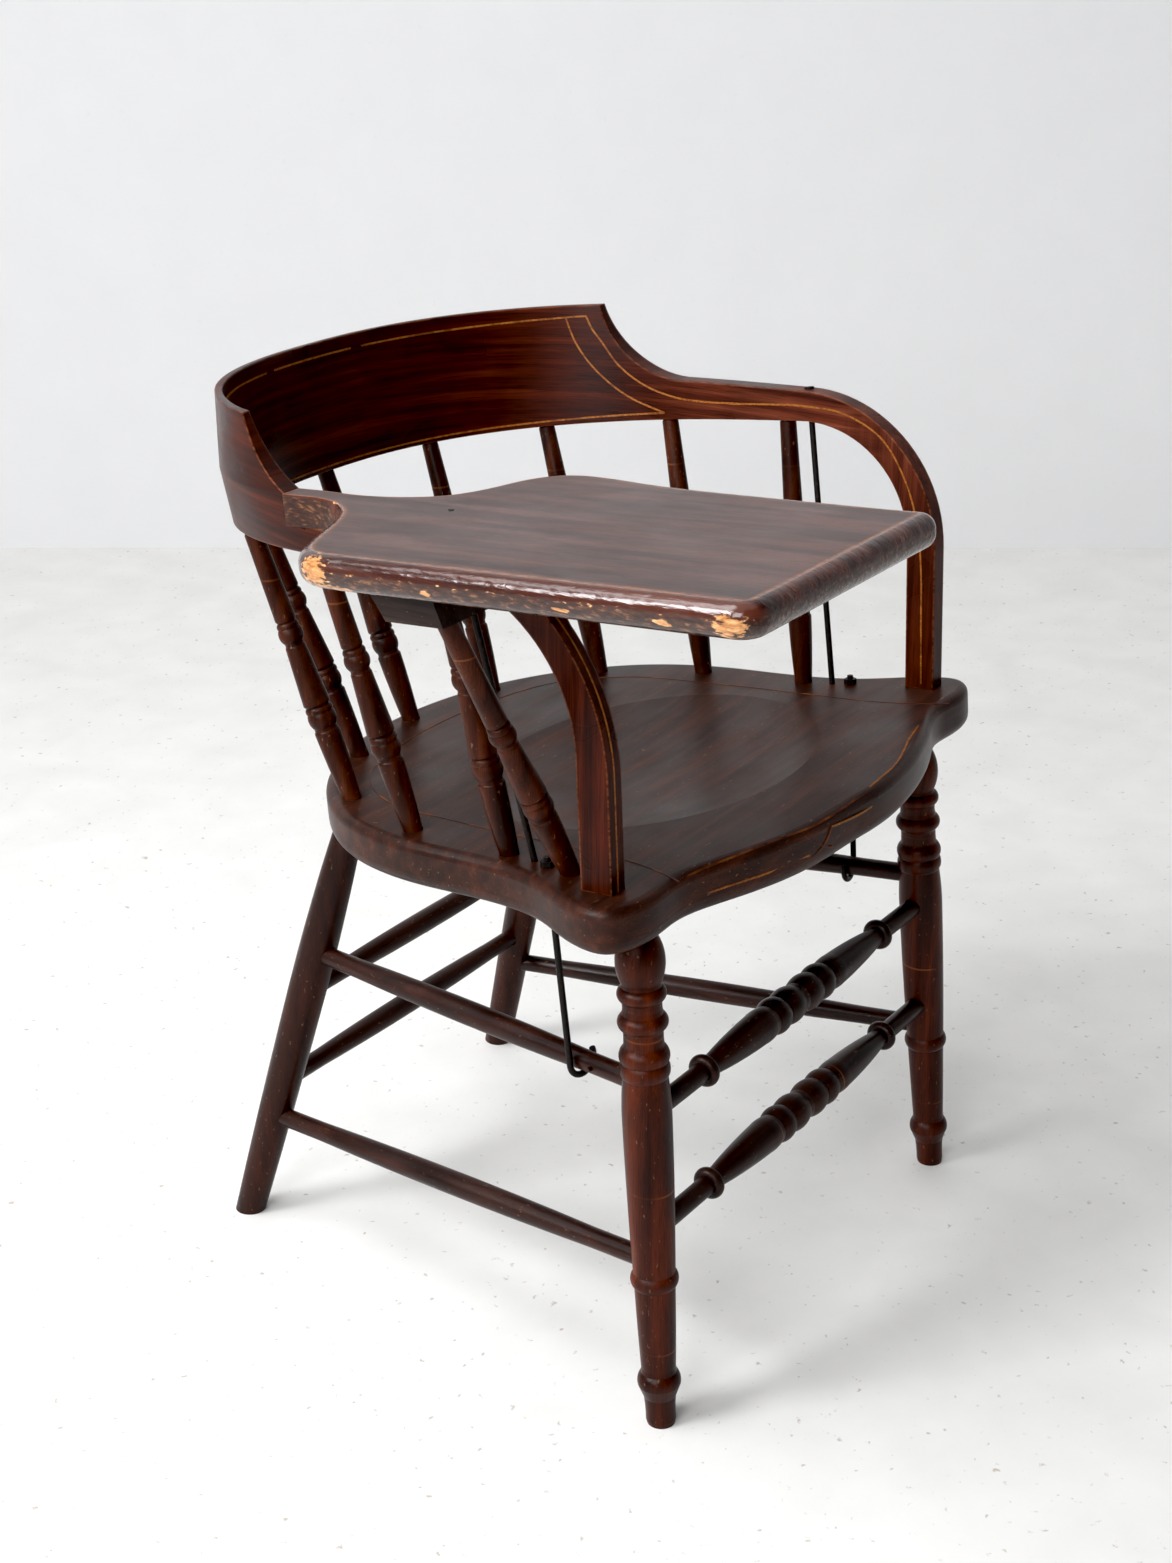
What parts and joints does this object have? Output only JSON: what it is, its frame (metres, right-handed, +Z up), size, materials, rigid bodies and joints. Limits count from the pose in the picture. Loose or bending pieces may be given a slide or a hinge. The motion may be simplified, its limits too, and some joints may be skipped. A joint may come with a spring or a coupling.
{
  "type": "writing arm windsor chair",
  "caption": "Windsor armchair with a plank seat on turned legs, a bent back and arm rail on turned spindles, and a fixed writing tablet on the right arm.",
  "frame": {"origin": "on the floor, under the middle of the box round the whole chair", "axes": "+Z up, -Y the way the sitter looks, +X the sitter's left, so the tablet is on the -X side"},
  "size_m": [0.6754, 0.6801, 0.7613],
  "materials": {
    "seat_wood": "dark stained, satin, worn at the edges",
    "rail_wood": "dark stained, satin, worn at the edges",
    "tablet_wood": "dark stained, satin, worn at the edges",
    "leg_wood": "dark stained, satin, worn at the edges",
    "stretcher_wood": "dark stained, satin, worn at the edges",
    "spindle_wood": "dark stained, satin, worn at the edges",
    "black_iron": "black, hand worn"
  },
  "bodies": {
    "root": {"seat": "seat_wood", "back_and_arm_rail": "rail_wood", "writing_tablet": "tablet_wood", "tablet_cleat": "tablet_wood", "front_leg_left": "leg_wood", "front_leg_right": "leg_wood", "rear_leg_left": "leg_wood", "rear_leg_right": "leg_wood", "front_stretcher_upper": "stretcher_wood", "front_stretcher_lower": "stretcher_wood", "rear_stretcher_upper": "stretcher_wood", "rear_stretcher_lower": "stretcher_wood", "side_stretcher_upper_left": "stretcher_wood", "side_stretcher_upper_right": "stretcher_wood", "side_stretcher_lower_left": "stretcher_wood", "side_stretcher_lower_right": "stretcher_wood", "stretcher_peg": "stretcher_wood", "spindle_centre": "spindle_wood", "spindle_left_1": "spindle_wood", "spindle_left_2": "spindle_wood", "spindle_left_3": "spindle_wood", "spindle_left_4": "spindle_wood", "spindle_right_1": "spindle_wood", "spindle_right_2": "spindle_wood", "spindle_right_3": "spindle_wood", "spindle_right_4": "spindle_wood", "tablet_support_spindle": "spindle_wood", "tie_rod_left": "black_iron", "tie_rod_right": "black_iron", "hook_rod_left": "black_iron", "hook_rod_right": "black_iron", "tie_rod_nuts": "black_iron", "hook_rod_nuts": "black_iron", "cleat_screws": "black_iron"}
  },
  "joints": []
}
